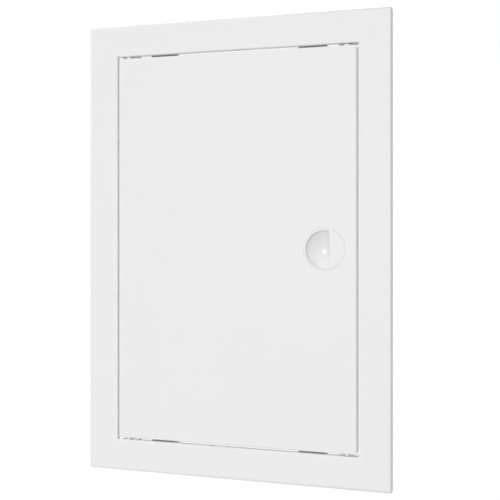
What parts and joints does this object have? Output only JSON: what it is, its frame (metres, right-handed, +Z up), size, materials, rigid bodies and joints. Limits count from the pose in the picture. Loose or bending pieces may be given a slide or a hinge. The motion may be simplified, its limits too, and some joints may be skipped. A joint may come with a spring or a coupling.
{
  "type": "access panel",
  "caption": "White plastic access panel for a wall or ceiling: a flat frame with a collar and a pivoting door with a round half-moon finger pull.",
  "frame": {"origin": "middle of the opening, on the wall plane where the back of the face plate rests", "axes": "+Z up along the panel's height, +X to the right as seen from the room, +Y into the wall, so the face looks towards -Y"},
  "size_m": [0.218, 0.023, 0.318],
  "materials": {
    "white_abs": "satin white moulded ABS",
    "white_pom": "natural white acetal"
  },
  "bodies": {
    "frame": {"frame": "white_abs", "hinge_socket_upper": "white_pom", "hinge_socket_lower": "white_pom", "catch_socket_upper": "white_pom", "catch_socket_lower": "white_pom", "stop_upper_left": "white_abs", "stop_lower_left": "white_abs", "stop_upper_right": "white_abs", "stop_lower_right": "white_abs"},
    "door": {"door": "white_abs", "hinge_pin_upper": "white_pom", "hinge_pin_lower": "white_pom", "catch_stud_upper": "white_pom", "catch_stud_lower": "white_pom", "pull_cover": "white_abs", "pull_cup": "white_abs"}
  },
  "joints": [
    {"name": "door_swing", "type": "hinge", "parent": "frame", "child": "door", "pos_m": [-0.0789, 0.0003, 0], "axis": [0, 0, -1], "range_deg": [0, 120]}
  ]
}
